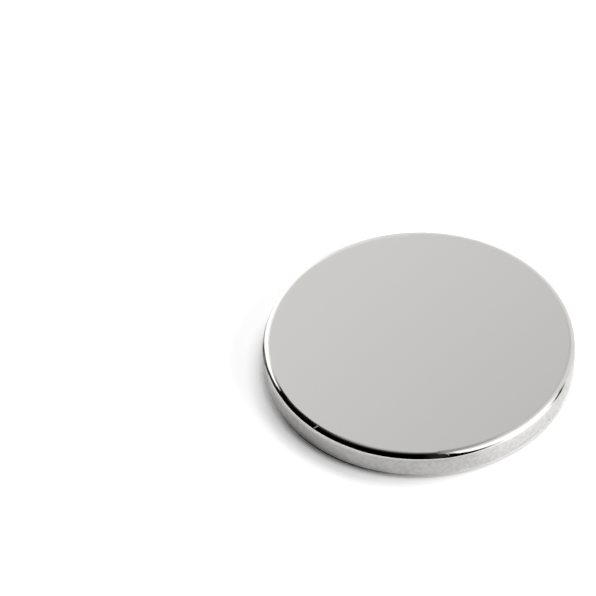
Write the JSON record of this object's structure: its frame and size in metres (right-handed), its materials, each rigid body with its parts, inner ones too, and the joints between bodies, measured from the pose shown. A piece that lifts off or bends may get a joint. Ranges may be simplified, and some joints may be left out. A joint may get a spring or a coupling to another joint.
{
  "type": "disc magnet",
  "caption": "Flat round permanent magnet with tumbled edges and bright nickel plating, for holding, closing and sensing.",
  "frame": {"origin": "middle of the bottom face, which is the face that the magnet rests on", "axes": "+Z along the axis of the disc, from the bottom face to the top face; +X to the right and +Y away from the viewer in the plane of the bottom face"},
  "size_m": [0.03, 0.03, 0.003],
  "materials": {
    "nickel_plating": "bright nickel plating, mirror-like on the faces and rounded edges and satin on the side wall"
  },
  "bodies": {
    "root": {"disc_magnet": "nickel_plating"}
  },
  "joints": []
}
